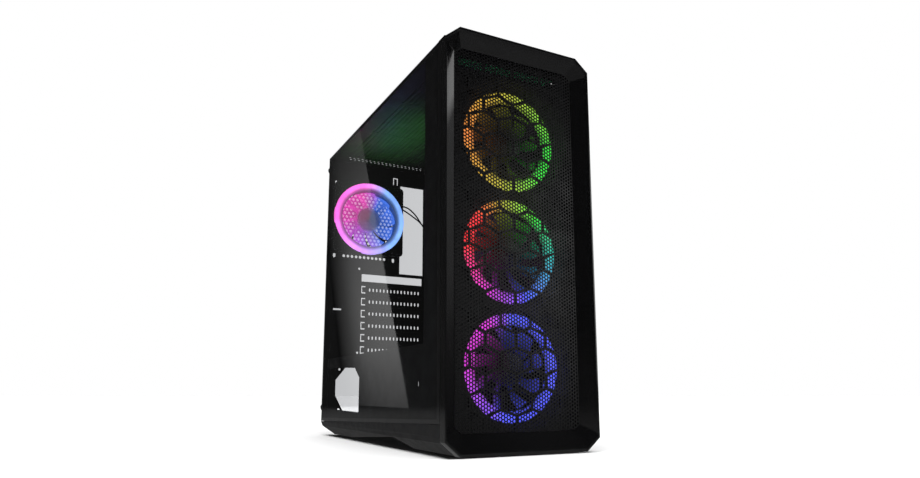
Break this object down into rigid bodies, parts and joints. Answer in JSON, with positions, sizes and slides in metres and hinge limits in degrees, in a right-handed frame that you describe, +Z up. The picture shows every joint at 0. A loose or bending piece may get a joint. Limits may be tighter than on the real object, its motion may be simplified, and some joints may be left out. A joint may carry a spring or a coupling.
{
  "type": "desktop computer tower",
  "caption": "Empty midi-tower computer case: octagonal gloss bezel with recessed mesh, lit front fans, clear side panel, lit rear fan and faceted base rails.",
  "frame": {"origin": "centre of the case's bounding box in plan, at the underside of the rubber feet", "axes": "+Z up along the tall side, the front bezel faces -Y, +X to the right seen from the front, the clear panel at -X"},
  "size_m": [0.196, 0.46, 0.4735],
  "materials": {
    "black_steel": "satin black powder coat",
    "gloss_black": "high gloss",
    "mesh_steel": "fine perforated sheet, satin",
    "satin_black": "satin",
    "green_board": "solder mask",
    "switch_grey": "satin",
    "bright_shell": "plated",
    "clear_glass": "polished, lightly tinted",
    "black_screw": "black oxide",
    "brass_standoff": "machined",
    "black_rubber": "matte",
    "copper_stator": "wound copper",
    "smoke_blades": "smoked translucent",
    "clear_blades": "clear translucent",
    "diffuser_lower": "frosted, lit from inside",
    "diffuser_middle": "frosted, lit from inside",
    "diffuser_upper": "frosted, lit from inside",
    "diffuser_rear": "frosted, lit from inside"
  },
  "bodies": {
    "chassis": {"front_plate": "black_steel", "floor_plate": "black_steel", "roof_plate": "black_steel", "rear_plate": "black_steel", "rear_grille": "black_steel", "slot_covers": "black_steel", "motherboard_tray": "black_steel", "psu_shroud": "black_steel", "drive_cage": "black_steel", "base_rail_left": "satin_black", "base_rail_right": "satin_black", "foot_pads": "black_rubber", "rail_screws": "black_screw", "standoffs": "brass_standoff", "cable_grommets": "black_rubber", "fan_controller": "satin_black", "psu_pads": "black_rubber", "fan_leads": "black_rubber", "fan_screws": "black_screw", "lower_fan_frame": "satin_black", "lower_fan_motor_mount": "satin_black", "lower_fan_light_ring": "diffuser_lower", "lower_fan_stator": "copper_stator", "middle_fan_frame": "satin_black", "middle_fan_motor_mount": "satin_black", "middle_fan_light_ring": "diffuser_middle", "middle_fan_stator": "copper_stator", "upper_fan_frame": "satin_black", "upper_fan_motor_mount": "satin_black", "upper_fan_light_ring": "diffuser_upper", "upper_fan_stator": "copper_stator", "rear_fan_frame": "satin_black", "rear_fan_motor_mount": "satin_black", "rear_fan_light_ring": "diffuser_rear", "rear_fan_stator": "copper_stator"},
    "bezel": {"front_bezel": "gloss_black", "front_mesh": "mesh_steel", "front_grille": "satin_black", "input_board": "green_board", "input_switches": "switch_grey", "usb_sockets": "bright_shell", "audio_sockets": "satin_black"},
    "power_button": {"power_button": "satin_black"},
    "reset_button": {"reset_button": "satin_black"},
    "light_button": {"light_button": "satin_black"},
    "glass_side": {"glass_panel": "clear_glass", "glass_flange": "black_steel"},
    "glass_screw_lower": {"glass_thumbscrew_lower": "black_screw"},
    "glass_screw_upper": {"glass_thumbscrew_upper": "black_screw"},
    "right_side": {"right_panel": "black_steel"},
    "right_screw_lower": {"right_thumbscrew_lower": "black_screw"},
    "right_screw_upper": {"right_thumbscrew_upper": "black_screw"},
    "roof_filter": {"top_filter": "satin_black"},
    "supply_filter": {"psu_filter": "satin_black"},
    "sled_lower": {"drive_sled_lower": "satin_black"},
    "sled_upper": {"drive_sled_upper": "satin_black"},
    "lower_fan_impeller": {"lower_fan_rotor": "smoke_blades"},
    "middle_fan_impeller": {"middle_fan_rotor": "smoke_blades"},
    "upper_fan_impeller": {"upper_fan_rotor": "smoke_blades"},
    "rear_fan_impeller": {"rear_fan_rotor": "clear_blades"}
  },
  "joints": [
    {"name": "lower_fan_spin", "type": "hinge", "parent": "chassis", "child": "lower_fan_impeller", "pos_m": [0, -0.1885, 0.094], "axis": [0, -1, 0], "continuous": true},
    {"name": "middle_fan_spin", "type": "hinge", "parent": "chassis", "child": "middle_fan_impeller", "pos_m": [0, -0.1885, 0.2275], "axis": [0, -1, 0], "continuous": true},
    {"name": "upper_fan_spin", "type": "hinge", "parent": "chassis", "child": "upper_fan_impeller", "pos_m": [0, -0.1885, 0.361], "axis": [0, -1, 0], "continuous": true},
    {"name": "rear_fan_spin", "type": "hinge", "parent": "chassis", "child": "rear_fan_impeller", "pos_m": [-0.0333, 0.203, 0.3558], "axis": [0, -1, 0], "continuous": true},
    {"name": "bezel_pull", "type": "slide", "parent": "chassis", "child": "bezel", "axis": [0, -1, 0], "range_m": [0, 0.08]},
    {"name": "power_press", "type": "slide", "parent": "bezel", "child": "power_button", "axis": [0, 0, -1], "range_m": [0, 0.0015], "stiffness_N_per_m": 250, "springref_m": -0.002},
    {"name": "reset_press", "type": "slide", "parent": "bezel", "child": "reset_button", "axis": [0, 0, -1], "range_m": [0, 0.0015], "stiffness_N_per_m": 250, "springref_m": -0.002},
    {"name": "light_press", "type": "slide", "parent": "bezel", "child": "light_button", "axis": [0, 0, -1], "range_m": [0, 0.0015], "stiffness_N_per_m": 250, "springref_m": -0.002},
    {"name": "glass_panel_slide", "type": "slide", "parent": "chassis", "child": "glass_side", "axis": [0, 1, 0], "range_m": [0, 0.45]},
    {"name": "glass_screw_lower_back_out", "type": "slide", "parent": "glass_side", "child": "glass_screw_lower", "axis": [0, 1, 0], "range_m": [0, 0.006]},
    {"name": "glass_screw_upper_back_out", "type": "slide", "parent": "glass_side", "child": "glass_screw_upper", "axis": [0, 1, 0], "range_m": [0, 0.006]},
    {"name": "right_panel_slide", "type": "slide", "parent": "chassis", "child": "right_side", "axis": [0, 1, 0], "range_m": [0, 0.45]},
    {"name": "right_screw_lower_back_out", "type": "slide", "parent": "right_side", "child": "right_screw_lower", "axis": [0, 1, 0], "range_m": [0, 0.006]},
    {"name": "right_screw_upper_back_out", "type": "slide", "parent": "right_side", "child": "right_screw_upper", "axis": [0, 1, 0], "range_m": [0, 0.006]},
    {"name": "roof_filter_lift", "type": "slide", "parent": "chassis", "child": "roof_filter", "axis": [0, 0, 1], "range_m": [0, 0.06]},
    {"name": "supply_filter_slide", "type": "slide", "parent": "chassis", "child": "supply_filter", "axis": [0, 1, 0], "range_m": [0, 0.17]},
    {"name": "sled_lower_slide", "type": "slide", "parent": "chassis", "child": "sled_lower", "axis": [1, 0, 0], "range_m": [0, 0.012]},
    {"name": "sled_upper_slide", "type": "slide", "parent": "chassis", "child": "sled_upper", "axis": [1, 0, 0], "range_m": [0, 0.012]}
  ]
}
